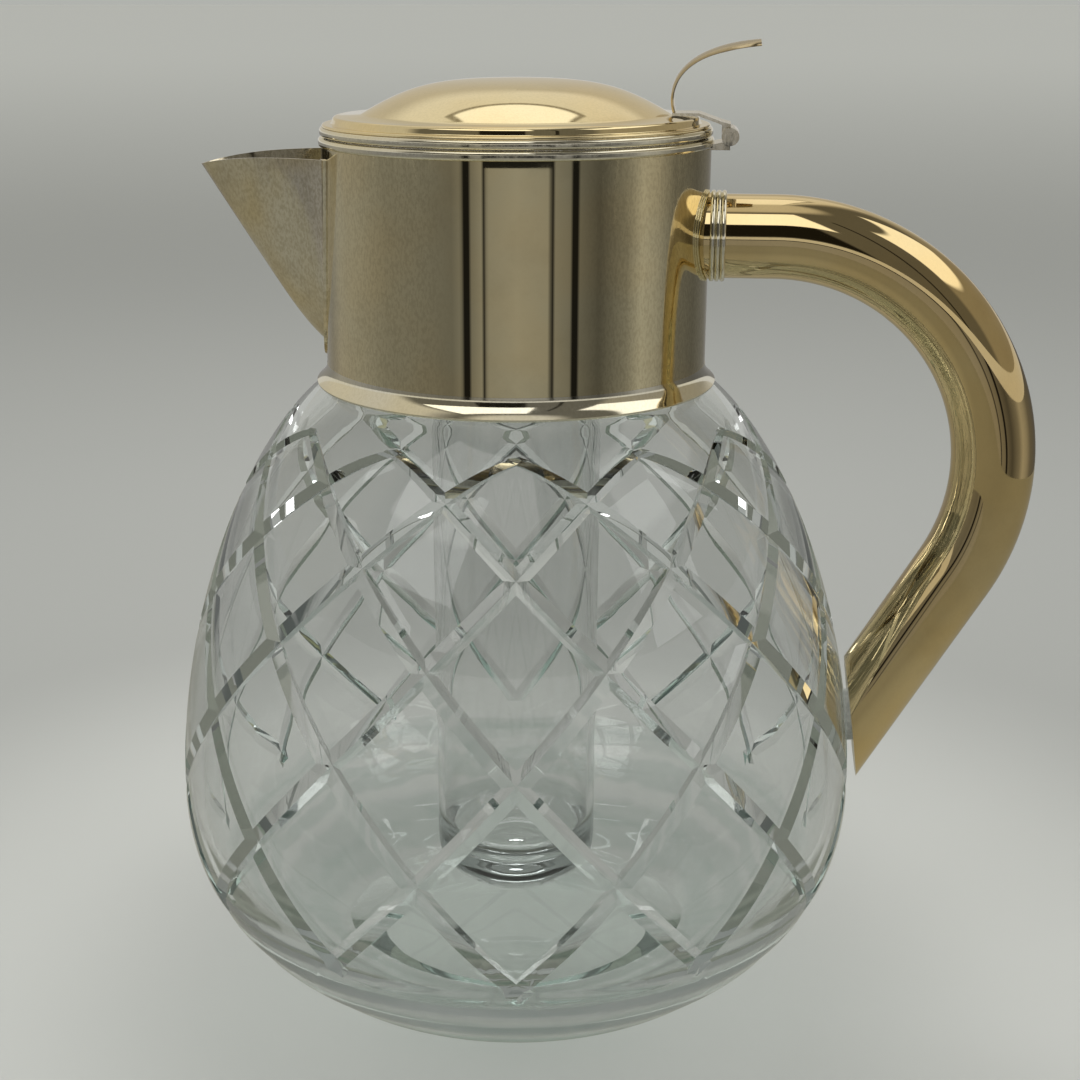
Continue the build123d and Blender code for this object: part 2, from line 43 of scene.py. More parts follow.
# mesh helpers
def bezierCurve(points, count):
    # B(t) = (1-t)^3 p0 + 3(1-t)^2 t p1 + 3(1-t)t^2 p2 + t^3 p3, for count values of t from 0 to 1
    t = np.linspace(0, 1, count)[:, None]
    p = np.asarray(points, float)
    return (1 - t) ** 3 * p[0] + 3 * (1 - t) ** 2 * t * p[1] + 3 * (1 - t) * t * t * p[2] + t ** 3 * p[3]


def polarOffset(point, length, angle):
    # the point moved by a length along an angle in degrees
    turn = math.radians(angle)
    return (point[0] + length * math.cos(turn), point[1] + length * math.sin(turn))


def roundCorners(corners, steps=5, closed=True, support=0.12):
    # corners are (r, z, radius). Each arc is tangent to both sides of its corner: it starts at
    # radius / tan(half) from the corner and its centre lies at radius / sin(half) on the bisector.
    # Two more points just outside each arc keep the flats flat when the surface is shaded smooth.
    c = np.asarray(corners, float)
    p, radius = c[:, :2], c[:, 2]
    before, after = np.roll(p, 1, 0) - p, np.roll(p, -1, 0) - p
    before /= np.linalg.norm(before, axis=1, keepdims=True)
    after /= np.linalg.norm(after, axis=1, keepdims=True)
    half = 0.5 * np.arccos(np.clip((before * after).sum(1), -1, 1))
    soft = (radius > 0) & (half < 1.55)
    if not closed:
        soft[[0, -1]] = False
    reach = np.where(soft, radius / np.tan(np.maximum(half, 1e-3)), 0)[:, None]
    bisector = before + after
    bisector /= np.maximum(np.linalg.norm(bisector, axis=1, keepdims=True), 1e-9)
    centre = p + bisector * np.where(soft, radius / np.sin(np.maximum(half, 1e-3)), 0)[:, None]
    first, last = p + before * reach - centre, p + after * reach - centre
    sweep = np.where(soft, math.pi - 2 * half, 1.0)[:, None, None]
    t = np.linspace(0, 1, steps)[None, :, None]
    arc = (np.sin((1 - t) * sweep) * first[:, None] + np.sin(t * sweep) * last[:, None]) / np.sin(sweep)
    arc = np.where(soft[:, None, None], centre[:, None] + arc, p[:, None])
    edge = np.where(soft, support, 0)[:, None]
    rows = np.concatenate([arc[:, :1] + (before * edge)[:, None], arc,
                           arc[:, -1:] + (after * edge)[:, None]], 1).reshape(-1, 2)
    apart = np.linalg.norm(np.roll(rows, -1, 0) - rows, axis=1) > together
    if not closed:
        apart[-1] = True
    return rows[apart]


def addMesh(name, points, faces, body, slotName, finish, stands, sharp=40.0):
    # puts points in millimetres and faces into an object at the origin, turned to face outwards:
    # the volume is the sum of a . (b x c) / 6 over the triangles
    points = np.asarray(points, float) * mm
    tris = np.array([f[:3] for f in faces] + [(f[0], f[2], f[3]) for f in faces if len(f) == 4])
    a, b, c = points[tris[:, 0]], points[tris[:, 1]], points[tris[:, 2]]
    if (a * np.cross(b, c)).sum() < 0:
        faces = [f[::-1] for f in faces]
    mesh = bpy.data.meshes.new(name)
    mesh.from_pydata(points.tolist(), [], faces)
    mesh.polygons.foreach_set("use_smooth", np.ones(len(mesh.polygons), bool))
    mesh.set_sharp_from_angle(angle=math.radians(sharp))
    mesh.update()
    piece = bpy.data.objects.new(name, mesh)
    bpy.context.scene.collection.objects.link(piece)
    mesh.materials.append(finishes[finish])
    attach(piece, body)
    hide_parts(*stands)


def gridFaces(rows, columns, wrapRows, wrapColumns, offset=0):
    # quad (i, j), (i+1, j), (i+1, j+1), (i, j+1) over a grid of points numbered row by row
    i, j = np.meshgrid(np.arange(rows if wrapRows else rows - 1),
                       np.arange(columns if wrapColumns else columns - 1), indexing="ij")
    nextI, nextJ = (i + 1) % rows, (j + 1) % columns
    quads = np.stack([i * columns + j, nextI * columns + j,
                      nextI * columns + nextJ, i * columns + nextJ], -1)
    return (quads.reshape(-1, 4) + offset).tolist()


def fanFaces(pole, ring):
    # triangles from one point to each side of a ring
    ring = np.asarray(ring)
    return np.stack([np.full(len(ring), pole), ring, np.roll(ring, -1)], -1).tolist()


def ringPoints(profile, azimuth):
    # one ring of points for each (r, z) of the profile: x = r cos a, y = r sin a, z = z
    r, z = profile[:, :1], profile[:, 1:]
    return np.stack([r * np.cos(azimuth), r * np.sin(azimuth), z + 0 * azimuth], -1)


def latheMesh(profile, turns=192):
    # A profile of (r, z) turned about the axis. One that starts and ends on the axis gets one point at
    # each pole, any other one is a loop.
    profile = np.asarray(profile, float)
    a = np.linspace(0, 2 * math.pi, turns, endpoint=False)
    poles = profile[0, 0] < together and profile[-1, 0] < together
    inner = profile[1:-1] if poles else profile
    points = ringPoints(inner, a).reshape(-1, 3)
    faces = gridFaces(len(inner), turns, not poles, True)
    if poles:
        count = len(points)
        points = np.concatenate([points, [[0, 0, profile[0, 1]], [0, 0, profile[-1, 1]]]])
        ring = np.arange(turns)
        faces += fanFaces(count, ring) + fanFaces(count + 1, (ring + count - turns)[::-1])
    return points, faces


def sheetShell(outer, inner):
    # closed shell of two grids of the same size, joined along their four borders
    rows, columns = outer.shape[:2]
    count = rows * columns
    points = np.concatenate([outer.reshape(-1, 3), inner.reshape(-1, 3)])
    faces = gridFaces(rows, columns, False, False)
    faces += [f[::-1] for f in gridFaces(rows, columns, False, False, count)]
    index = np.arange(count).reshape(rows, columns)
    border = np.concatenate([index[0, :-1], index[:-1, -1], index[-1, :0:-1], index[:0:-1, 0]])
    after = np.roll(border, -1)
    faces += np.stack([border, after, after + count, border + count], -1).tolist()
    return points, faces


# shader helpers
class NodeTree:
    # short names for the few node actions that every material below uses
    def __init__(self, tree):
        self.tree = tree

    def add(self, kind, **values):
        node = self.tree.nodes.new(kind)
        for key, value in values.items():
            setattr(node, key, value)
        return node

    def link(self, source, target):
        self.tree.links.new(source, target)

    def math(self, operation, a, b=None, clamp=False):
        node = self.add("ShaderNodeMath", operation=operation, use_clamp=clamp)
        for socket, value in zip(node.inputs, (a, b)):
            if value is None:
                continue
            if isinstance(value, (int, float)):
                socket.default_value = value
            else:
                self.link(value, socket)
        return node.outputs[0]

    def noise(self, vector, scale, detail=3.0, rough=0.5):
        node = self.add("ShaderNodeTexNoise")
        node.inputs["Scale"].default_value = scale
        node.inputs["Detail"].default_value = detail
        node.inputs["Roughness"].default_value = rough
        self.link(vector, node.inputs["Vector"])
        return node.outputs["Fac"]

    def spread(self, value, low, high, toLow=0.0, toHigh=1.0):
        node = self.add("ShaderNodeMapRange", interpolation_type="SMOOTHSTEP")
        for socket, number in zip(node.inputs[1:5], (low, high, toLow, toHigh)):
            socket.default_value = number
        self.link(value, node.inputs[0])
        return node.outputs[0]

    def mix(self, factor, a, b):
        node = self.add("ShaderNodeMix", data_type="RGBA")
        for socket, value in ((node.inputs[0], factor), (node.inputs[6], a), (node.inputs[7], b)):
            if isinstance(value, tuple):
                socket.default_value = (*value, 1)
            elif isinstance(value, float):
                socket.default_value = value
            else:
                self.link(value, socket)
        return node.outputs[2]

    def scaled(self, vector, x, y, z):
        node = self.add("ShaderNodeMapping")
        node.inputs["Scale"].default_value = (x, y, z)
        self.link(vector, node.inputs["Vector"])
        return node.outputs["Vector"]

    def place(self, label="Object"):
        return self.add("ShaderNodeTexCoord").outputs[label]

    def split(self, vector):
        node = self.add("ShaderNodeSeparateXYZ")
        self.link(vector, node.inputs[0])
        return node.outputs

    def bump(self, height, shader):
        node = self.add("ShaderNodeBump")
        node.inputs["Distance"].default_value = mm
        self.link(height, node.inputs["Height"])
        self.link(node.outputs["Normal"], shader.inputs["Normal"])


def newMaterial(name):
    material = bpy.data.materials.new(name)
    material.use_nodes = True
    return material, NodeTree(material.node_tree), material.node_tree.nodes["Principled BSDF"]


# warm and cool tone, tarnish, haze, gloss, waves and grain of each plated metal, and for the band the x and
# the half width of a strip that is polished smooth
plateFinishes = {
    "bandPlate": ((0.90, 0.77, 0.46), (0.87, 0.78, 0.50), 0.10, 0.10, 0.012, 0.002, 0.0012, (6.0, 20.0)),
    "lidPlate": ((0.93, 0.76, 0.43), (0.91, 0.78, 0.48), 0.08, 0.03, 0.025, 0.004, 0.0003),
    "brightPlate": ((0.90, 0.83, 0.62), (0.88, 0.84, 0.70), 0.08, 0.04, 0.05, 0.003, 0.0),
    # the spout's warm and cool tones lie far apart: its random patches are partly the plate's own mottling
    # and partly painted reflection streaks
    "spoutPlate": ((0.86, 0.71, 0.42), (0.92, 0.85, 0.68), 0.22, 0.14, 0.05, 0.030, 0.0008),
    "thumbPlate": ((0.50, 0.41, 0.25), (0.62, 0.54, 0.38), 0.35, 0.08, 0.10, 0.003, 0.0003),
    # the handle's plate is darker and browner than the lid's: partly its own tone, partly painted shade for
    # the darker room it mirrors
    "shadedHandlePlate": ((0.75, 0.57, 0.28), (0.77, 0.61, 0.33), 0.10, 0.02, 0.02, 0.003, 0.0),
    "hingeNickel": ((0.72, 0.67, 0.56), (0.84, 0.80, 0.70), 0.40, 0.10, 0.08, 0.003, 0.0004),
    "innerPlate": ((0.72, 0.66, 0.52), (0.66, 0.63, 0.55), 0.30, 0.20, 0.18, 0.004, 0.0006),
}
wornTone, tarnishTone = (0.42, 0.35, 0.20), (0.30, 0.22, 0.11)


def platedFinish():
    # shared effect of worn silver plate: warm and cool patches, tarnish specks, a fine lengthwise
    # grain, haze in the roughness and slow waves in the sheet
    group = bpy.data.node_groups.new("platedFinish", "ShaderNodeTree")
    inputs = [("Vector", "Vector"), ("Warm", "Color"), ("Cool", "Color")]
    inputs += [(label, "Float") for label in ("Tarnish", "Haze", "Gloss", "Waves", "Grain", "Worn")]
    outputs = [("Color", "Color"), ("Roughness", "Float"), ("Height", "Float")]
    for way, sockets in (("INPUT", inputs), ("OUTPUT", outputs)):
        for label, kind in sockets:
            group.interface.new_socket(label, in_out=way, socket_type="NodeSocket" + kind)
    t = NodeTree(group)
    enter, leave = t.add("NodeGroupInput"), t.add("NodeGroupOutput")
    where = enter.outputs["Vector"]
    patches = t.spread(t.noise(where, 26, 3.0), 0.38, 0.62)
    streaks = t.noise(t.scaled(where, 1, 1, 0.12), 900, 4.0, 0.6)
    specks = t.spread(t.noise(where, 640, 5.0, 0.7), 0.62, 0.72)
    cloud = t.spread(t.noise(where, 60, 6.0, 0.65), 0.45, 0.7)
    tone = t.mix(patches, enter.outputs["Warm"], enter.outputs["Cool"])
    flecks = t.math("MULTIPLY", t.spread(t.noise(t.scaled(where, 1, 1, 0.5), 1500, 3.0, 0.6), 0.42, 0.62),
                    t.math("MULTIPLY", enter.outputs["Worn"], enter.outputs["Haze"]))
    tone = t.mix(t.math("MULTIPLY", flecks, 2.6, clamp=True), tone, wornTone)
    stain = t.math("MULTIPLY", t.math("MAXIMUM", t.math("MULTIPLY", specks, 0.55), cloud),
                   enter.outputs["Tarnish"], clamp=True)
    t.link(t.mix(stain, tone, tarnishTone), leave.inputs["Color"])
    haze = t.math("MULTIPLY", t.math("MULTIPLY", t.spread(streaks, 0.35, 0.7), enter.outputs["Worn"]),
                  enter.outputs["Haze"])
    rough = t.math("ADD", t.math("ADD", enter.outputs["Gloss"], haze),
                   t.math("MULTIPLY", stain, 0.25))
    t.link(rough, leave.inputs["Roughness"])
    waves = t.math("MULTIPLY", t.noise(where, 17, 1.0), enter.outputs["Waves"])
    grain = t.math("MULTIPLY", t.math("MULTIPLY", streaks, enter.outputs["Worn"]), enter.outputs["Grain"])
    t.link(t.math("ADD", waves, grain), leave.inputs["Height"])
    return group


platedGroup = platedFinish()


def platedMetal(name, warm, cool, tarnish, haze, gloss, waves, grain, polished=None):
    # polished is an x and a half width: the metal is smooth there and worn on both sides of it
    material, t, shader = newMaterial(name)
    shader.inputs["Metallic"].default_value = 1.0
    place = t.place()
    finish = t.add("ShaderNodeGroup", node_tree=platedGroup)
    t.link(place, finish.inputs["Vector"])
    values = {"Warm": (*warm, 1), "Cool": (*cool, 1), "Tarnish": tarnish, "Haze": haze, "Gloss": gloss,
              "Waves": waves, "Grain": grain, "Worn": 1.0}
    for label, value in values.items():
        finish.inputs[label].default_value = value
    if polished:
        off = t.math("ABSOLUTE", t.math("SUBTRACT", t.split(place)[0], polished[0] * mm))
        t.link(t.spread(off, 0.7 * polished[1] * mm, 1.3 * polished[1] * mm), finish.inputs["Worn"])
    t.link(finish.outputs["Color"], shader.inputs["Base Color"])
    t.link(finish.outputs["Roughness"], shader.inputs["Roughness"])
    t.bump(finish.outputs["Height"], shader)
    return material


# tones of clear glass, of its painted dark bands and of its shadow, and the bounces after which light
# passes straight on
glass = {"clear": (0.964, 0.967, 0.963), "band": (0.64, 0.73, 0.70), "shadow": (0.985, 0.988, 0.986),
         "index": 1.52, "paintedBandDrift": 12.0, "trapped": 3.5}

# tint in the depth of the glass, its density, the polishing ripple, and the painted dark bands
glassFinishes = {
    "bowlGlass": ((0.46, 0.73, 0.65), 5.5, 0.004, [(42.5, 3.4, 0.50), (32.5, 2.6, 0.7), (20.0, 4.5, 0.7)]),
    "tubeGlass": ((0.36, 0.42, 0.41), 20.0, 0.010),
}


def clearGlass(name, tint, density, ripple, paintedBands=()):
    # thick glass: plain transmission, a faint tint that grows with the way through it, polishing ripple,
    # and darker bands round the axis painted into its colour as stand-ins for dark refractions low in the
    # bowl, each given by its height, half its width and its share
    material, t, shader = newMaterial(name)
    out = t.tree.nodes["Material Output"]
    shader.inputs["Transmission Weight"].default_value = 1.0
    shader.inputs["IOR"].default_value = glass["index"]
    place = t.place()
    smears = t.spread(t.noise(place, 45, 4.0, 0.6), 0.5, 0.8, 0.0, 0.03)
    t.link(smears, shader.inputs["Roughness"])
    shader.inputs["Base Color"].default_value = (*glass["clear"], 1)
    if paintedBands:
        wander = t.math("SUBTRACT", t.noise(place, 28, 3.0, 0.6), 0.5)
        drift = t.math("MULTIPLY", wander, glass["paintedBandDrift"] * mm)
        height = t.math("ADD", t.split(place)[2], drift)
        tone = glass["clear"]
        # painted reflection: each band darkens the glass colour as a stand-in for dark refracted arcs
        for middle, half, share in paintedBands:
            off = t.math("ABSOLUTE", t.math("SUBTRACT", height, middle * mm))
            tone = t.mix(t.spread(off, 0.4 * half * mm, half * mm, share, 0.0), tone, glass["band"])
        t.link(tone, shader.inputs["Base Color"])
    t.bump(t.math("MULTIPLY", t.noise(place, 70, 1.0), ripple), shader)
    depth = t.add("ShaderNodeVolumeAbsorption")
    depth.inputs["Color"].default_value = (*tint, 1)
    depth.inputs["Density"].default_value = density
    t.link(depth.outputs["Volume"], out.inputs["Volume"])
    # lamps and bounced light pass straight through, and so does light that stays trapped in the wall
    path = t.add("ShaderNodeLightPath")
    outside = t.math("MAXIMUM", path.outputs["Is Shadow Ray"], path.outputs["Is Diffuse Ray"])
    caught = t.math("GREATER_THAN", path.outputs["Glossy Depth"], glass["trapped"])
    through = t.add("ShaderNodeBsdfTransparent")
    through.inputs["Color"].default_value = (*glass["shadow"], 1)
    both = t.add("ShaderNodeMixShader")
    t.link(t.math("MAXIMUM", outside, caught), both.inputs[0])
    t.link(shader.outputs[0], both.inputs[1])
    t.link(through.outputs[0], both.inputs[2])
    t.link(both.outputs[0], out.inputs["Surface"])
    return material


# tone, dark tone, roughness, scale of the grain and its height
matteFinishes = {
    "cementPaste": ((0.74, 0.71, 0.64), (0.60, 0.57, 0.50), 0.85, 600, 0.05),
    "padRubber": ((0.50, 0.50, 0.47), (0.36, 0.36, 0.34), 0.6, 900, 0.02),
}


def matteSurface(name, colour, dark, rough, grainScale, height):
    # dull surface with a fine grain in its tone, its roughness and its height
    material, t, shader = newMaterial(name)
    grain = t.noise(t.place(), grainScale, 5.0, 0.6)
    t.link(t.mix(t.spread(grain, 0.35, 0.65), dark, colour), shader.inputs["Base Color"])
    t.link(t.spread(grain, 0.3, 0.7, rough - 0.08, rough + 0.08), shader.inputs["Roughness"])
    t.bump(t.math("MULTIPLY", grain, height), shader)
    return material


finishes = {name: platedMetal(name, *values) for name, values in plateFinishes.items()}
finishes |= {name: clearGlass(name, *values) for name, values in glassFinishes.items()}
finishes |= {name: matteSurface(name, *values) for name, values in matteFinishes.items()}
print("finishes made")


# glass bowl with its cut lattice
bowl = {
    "footRadius": 43.0, "footAngle": 30.0, "footReach": 29.0, "footFillet": 0.8,
    "bellyRadius": 100.5, "bellyHeight": 70.0, "lowerReach": 41.0, "upperReach": 49.0,
    "shoulder": (56.2, 190.9), "shoulderAngle": 38.0, "shoulderReach": 30.0,
    "neckRadius": 50.0, "neckWall": 4.8, "neckFoot": 198.9, "neckTop": 204.4, "neckBend": 5.0,
    "wall": 5.0, "floorRadius": 50.0, "floorHeight": 15.0, "floorReach": 20.0, "floorAngle": 14.0,
    "floorCorner": 54.0, "floorBlend": 1.5, "floorFlat": 4.0, "floorJoin": 12,
    "innerLowerReach": 28.0,
    "waveDepth": 0.18, "waveStart": 17.5, "wavePitch": 10.0,
    "waveFoot": 8.0, "waveFootFade": 6.0, "waveTop": 47.0, "waveTopFade": 4.0,
    "grooves": 12,                     # grooves of each hand
    "cells": 3,                        # each groove crosses this many cells on its way up
    "climb": [50.0, 105.6, 173.2, 183.0],          # heights that steer the climb of a groove
    "halfWidth": [0.070, 0.085],       # of a groove, as a share of a cell, at the bottom and the top row
    "flank": 0.075,                    # share of a cell at which the grid has the flank of a groove
    "depth": 1.9, "fade": 0.12, "turn": 6.5, "landSteps": 12,
    "plainFrom": 2.0, "gapBelow": 0.8, "gapAbove": 0.3,        # where the plain rings end at the band
}


def bowlProfile(inset):
    # wall of the bowl from the belly to the neck, moved inwards by the inset
    d = bowl
    low = (d["bellyRadius"] - inset, d["bellyHeight"])
    end = polarOffset(d["shoulder"], inset, 270 - d["shoulderAngle"])
    upper = bezierCurve([low, (low[0], low[1] + d["upperReach"]),
                         polarOffset(end, d["shoulderReach"], -d["shoulderAngle"]), end], 400)
    radius = d["neckRadius"] - (d["neckWall"] if inset else 0)
    bend = bezierCurve([end, polarOffset(end, d["neckBend"], 180 - d["shoulderAngle"]),
                        (radius, d["neckFoot"] - d["neckBend"] / 2), (radius, d["neckFoot"])], 12)
    return upper, bend


def lowerWall(start, angle, reach, bellyRadius, bellyReach, count):
    # wall from the foot or the inner floor up to the belly
    belly = bowl["bellyHeight"]
    return bezierCurve([start, polarOffset(start, reach, angle), (bellyRadius, belly - bellyReach),
                        (bellyRadius, belly)], count)


def grooveHeight(u):
    # z(u) = (1-u)^3 z0 + 3(1-u)^2 u z1 + 3(1-u)u^2 z2 + u^3 z3, and straight on past both ends
    z0, z1, z2, z3 = bowl["climb"]
    v = np.clip(u, 0, 1)
    curve = (1 - v) ** 3 * z0 + 3 * (1 - v) ** 2 * v * z1 + 3 * (1 - v) * v * v * z2 + v ** 3 * z3
    return curve + 3 * np.minimum(u, 0) * (z1 - z0) + 3 * np.maximum(u - 1, 0) * (z3 - z2)


def bowlWall():
    # outside from the foot to the shoulder, with slow waves low down:
    # wave = depth * (1 - cos(2 pi (z - start) / pitch)), faded out below and above
    d = bowl
    upper, bend = bowlProfile(0)
    lower = lowerWall((d["footRadius"], 0), d["footAngle"], d["footReach"],
                      d["bellyRadius"], d["lowerReach"], 400)
    height = lower[:, 1]
    wave = d["waveDepth"] * (1 - np.cos(2 * math.pi * (height - d["waveStart"]) / d["wavePitch"]))
    wave *= np.clip((d["waveTop"] - height) / d["waveTopFade"], 0, 1)
    wave *= np.clip((height - d["waveFoot"]) / d["waveFootFade"], 0, 1)
    lower = lower - np.stack([wave, 0 * wave], -1)
    return np.concatenate([lower, upper[1:]]), upper, bend


def bowlInside():
    # from the top of the neck down the inner wall to the flat floor
    d = bowl
    upper, bend = bowlProfile(d["wall"])
    lower = lowerWall((d["floorRadius"], d["floorHeight"]), d["floorAngle"], d["floorReach"],
                      d["bellyRadius"] - d["wall"], d["innerLowerReach"], 40)
    join = d["floorJoin"]
    floor = roundCorners([(*lower[join], 0), (d["floorCorner"], d["floorHeight"], d["floorBlend"]),
                          (d["floorFlat"], d["floorHeight"], 0)], 12, False)
    return np.concatenate([bend[::-1], upper[::-8], lower[-2:join:-1], floor])


def widenGrooves(value, half):
    # moves the flank of each groove to the wanted half width, and the land evenly with it
    flank = bowl["flank"]
    off = value - np.round(value)
    size = np.abs(off)
    near = size * half / flank
    far = half + (size - flank) * (0.5 - half) / (0.5 - flank)
    return np.round(value) + np.sign(off) * np.where(size <= flank + 1e-9, near, far)


def latticeBand(wall, unit, i, q):
    # The lattice has coordinates s = azimuth / pitch + w and t = azimuth / pitch - w, with the pitch of
    # 360 / grooves and the turn w that grows with height. A groove runs along every whole s and whole t.
    # Depth = depth * max(1 - |ds|/half, 1 - |dt|/half), set inwards along the wall's normal.
    d = bowl
    n = len(unit)
    j = i - (q - n)
    s, t = i // n + unit[i % n], j // n + unit[j % n]
    low, high = d["halfWidth"]
    half = low + (high - low) * np.clip((s - t) / 2 / d["cells"], 0, 1)
    s, t = widenGrooves(s, half), widenGrooves(t, half)
    w = (s - t) / 2
    z = grooveHeight(w / d["cells"])
    azimuth = (s + t) / 2 * (2 * math.pi / d["grooves"]) + math.radians(d["turn"])
    slope = np.gradient(wall, axis=0)
    slope /= np.linalg.norm(slope, axis=1, keepdims=True)
    wallR, wallZ = wall.T
    normalR, normalZ = np.interp(z, wallZ, slope[:, 1]), -np.interp(z, wallZ, slope[:, 0])
    past = np.maximum(-w, w - d["cells"])
    depth = d["depth"] * np.clip(1 - 2 * past / d["fade"], 0, 1) * ((i % n == 0) | (j % n == 0))
    return np.interp(z, wallZ, wallR) - depth * normalR, z - depth * normalZ, azimuth


def latticeFaces(n, i, q):
    # each point (i, q) of the sheared grid starts two triangles. Their diagonal runs level, and upright
    # where just one hand is in the left half of a groove, so that it follows the mitre of each crossing.
    rows, columns = i.shape
    after = (i + 1) % rows
    flip = (i % n == n - 1) != ((i - (q - n)) % n == n - 1)
    inside = (q > 0) & (q < columns - 1)
    p00, p11 = i * columns + q, after * columns + q
    p10 = after * columns + np.minimum(q + 1, columns - 1)
    p01 = i * columns + np.maximum(q - 1, 0)
    plain, turned = inside & ~flip, inside & flip
    choices = ((plain | (q == 0), (p00, p10, p11)), (plain | (q == columns - 1), (p00, p11, p01)),
               (turned, (p00, p10, p01)), (turned, (p10, p11, p01)))
    return np.concatenate([np.stack([x[m] for x in trio], -1) for m, trio in choices]).tolist()


def makeCutBowl():
    # the cut band, closed below by rings to the foot and above by the neck and the inside
    d = bowl
    half, fade = d["flank"], d["fade"]
    unit = np.concatenate([[0, half], np.linspace(fade, 1 - fade, d["landSteps"] + 1), [1 - half]])
    n = len(unit)
    rows, columns = d["grooves"] * n, (2 * d["cells"] + 2) * n + 1
    i, q = np.meshgrid(np.arange(rows), np.arange(columns), indexing="ij")
    wall, upper, bend = bowlWall()
    r, z, azimuth = latticeBand(wall, unit, i, q)
    band = np.stack([r * np.cos(azimuth), r * np.sin(azimuth), z], -1)

    below = wall[(wall[:, 1] > d["plainFrom"]) & (wall[:, 1] < z[:, 0].min() - d["gapBelow"])][::-5]
    foot = roundCorners([(*below[-1], 0), (d["footRadius"], 0, d["footFillet"]), (0, 0, 0)], 5, False)
    under = np.concatenate([below[:-1], foot[:-1]])
    over = np.concatenate([upper[upper[:, 1] > z[:, -1].max() + d["gapAbove"]][::4], bend[1:]])
    arc = np.linspace(0, math.pi, 9)
    rounding = d["neckWall"] / 2
    neck = np.stack([d["neckRadius"] - rounding + rounding * np.cos(arc),
                     d["neckTop"] - rounding + rounding * np.sin(arc)], -1)
    rise = np.concatenate([over, neck, bowlInside()])
    rise = rise[np.concatenate([[True], np.linalg.norm(np.diff(rise, axis=0), axis=1) > together])]

    points, faces, total = [band.reshape(-1, 3)], latticeFaces(n, i, q), rows * columns
    for profile, side, pole in ((under, 0, (0, 0, 0)), (rise, columns - 1, (0, 0, d["floorHeight"]))):
        border = np.arange(rows) * columns + side
        extra = ringPoints(profile, azimuth[:, side]).reshape(-1, 3)
        rings = np.concatenate([border[None], total + np.arange(len(extra)).reshape(-1, rows)])
        low, high = rings[:-1], rings[1:]
        quads = np.stack([low, np.roll(low, -1, 1), np.roll(high, -1, 1), high], -1).reshape(-1, 4)
        fan = np.stack([rings[-1], np.roll(rings[-1], -1), np.full(rows, total + len(extra))], -1)
        if side:
            quads, fan = quads[:, ::-1], fan[:, ::-1]
        points += [extra, [pole]]
        faces += quads.tolist() + fan.tolist()
        total += len(extra) + 1
    addMesh("cutGlassBowl", np.concatenate(points), faces, "jug", "glass", "bowlGlass",
            ["glass_body"], sharp=16)


makeCutBowl()
print("cut bowl made")


# ice tube
iceTube = {"radius": 24.4, "wall": 2.2, "floor": 34.5, "bore": 43.5, "corner": 13.0, "boreCorner": 15.0,
           "lipRadius": 33.0, "lipLow": 250.25, "lipTop": 252.85, "lipFillet": 2.2, "lipEdge": 1.0,
           "mouthFlare": 4.8, "tip": 8.0, "dimple": 0.9, "dimpleWidth": 2.6,
           "boreDimple": 0.4, "boreDimpleWidth": 2.2}


def makeIceTube():
    # test-tube profile turned about the axis, with a shallow dimple where the blowpipe was cracked off:
    # z = floor + dimple * e^(-(r / width)^2)
    d = iceTube
    bore = d["radius"] - d["wall"]
    r = np.linspace(0, d["tip"], 9)
    outer = np.stack([r, d["floor"] + d["dimple"] * np.exp(-(r / d["dimpleWidth"]) ** 2)], -1)
    inner = np.stack([r, d["bore"] + d["boreDimple"] * np.exp(-(r / d["boreDimpleWidth"]) ** 2)], -1)
    middle = roundCorners([
        (d["tip"], d["floor"], 0), (d["radius"], d["floor"], d["corner"]),
        (d["radius"], d["lipLow"], d["lipFillet"]), (d["lipRadius"], d["lipLow"], d["lipEdge"]),
        (d["lipRadius"], d["lipTop"], d["lipEdge"]), (bore, d["lipTop"], d["mouthFlare"]),
        (bore, d["bore"], d["boreCorner"] - d["wall"]), (d["tip"], d["bore"], 0)], 14, False)
    tube = latheMesh(np.concatenate([outer[:-1], middle, inner[-2::-1]]), 144)
    addMesh("iceTubeGlass", *tube, "ice_tube", "insert_glass", "tubeGlass", ["ice_tube"])


makeIceTube()
print("ice tube made")


# collar
collar = {"radius": 54.0, "sheet": 0.9, "low": 194.0, "top": 257.2,
          "footTop": 197.2, "footRadius": 57.0, "footLow": 191.25, "footEdge": 0.8, "footLap": 0.35,
          "coveDrop": 2.4, "coveRun": (1.8, 1.5), "fit": 0.05, "backFit": 0.02,
          "rimRadius": 54.7, "rimTop": 259.6, "rimFillets": (0.1, 0.75, 0.8, 0.25)}


def makeCollarTrim():
    # foot ring: a cove that grows out of the band and ends in a rolled edge; rim: a soft bead
    d = collar
    sleeve = (d["radius"] + d["fit"], d["footTop"])
    edge = (d["footRadius"], d["footLow"] + d["footEdge"])
    flare = bezierCurve([sleeve, (sleeve[0], sleeve[1] - d["coveDrop"]),
                         (edge[0] - d["coveRun"][0], edge[1] + d["coveRun"][1]), edge], 24)
    turn = np.radians(np.linspace(0, -90, 6))
    roll = np.stack([edge[0] - d["footEdge"] + d["footEdge"] * np.cos(turn),
                     edge[1] + d["footEdge"] * np.sin(turn)], -1)
    back = d["radius"] + d["backFit"]
    ring = np.concatenate([flare, roll[1:], [(back, d["low"] - d["footLap"]), (back, d["footTop"])]])
    addMesh("collarFootRing", *latheMesh(ring), "jug", "plated_bright", "brightPlate", ["collar_foot"])
    inner = d["radius"] - d["sheet"]
    corners = [(inner, d["top"]), (d["rimRadius"], d["top"]), (d["rimRadius"], d["rimTop"]),
               (inner, d["rimTop"])]
    bead = roundCorners([(*corner, fillet) for corner, fillet in zip(corners, d["rimFillets"])])
    addMesh("collarRimBead", *latheMesh(bead), "jug", "plated_bright", "brightPlate", ["collar_rim"])


makeCollarTrim()
print("collar trim made")


